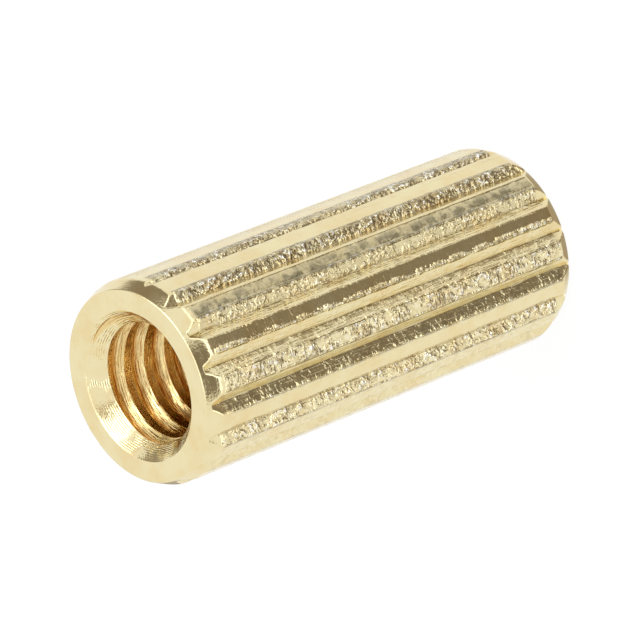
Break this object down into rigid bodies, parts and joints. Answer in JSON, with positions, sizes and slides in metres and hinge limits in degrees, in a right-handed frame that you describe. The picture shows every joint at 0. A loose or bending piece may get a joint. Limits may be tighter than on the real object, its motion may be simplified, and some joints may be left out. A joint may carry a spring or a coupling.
{
  "type": "standoff",
  "caption": "Round female-female standoff with a straight-knurled outside, chamfered ends and a countersunk tapped hole right through it.",
  "frame": {"origin": "centre of the bottom end face", "axes": "+Z along the body's axis, from the bottom end face to the top end face; +X through the middle of a knurl crest"},
  "size_m": [0.0035, 0.0034, 0.0083],
  "materials": {
    "brass": "bare turned and knurled brass, bright on the cut faces, with torn matt streaks along the knurl"
  },
  "bodies": {
    "root": {"standoff_body": "brass"}
  },
  "joints": []
}
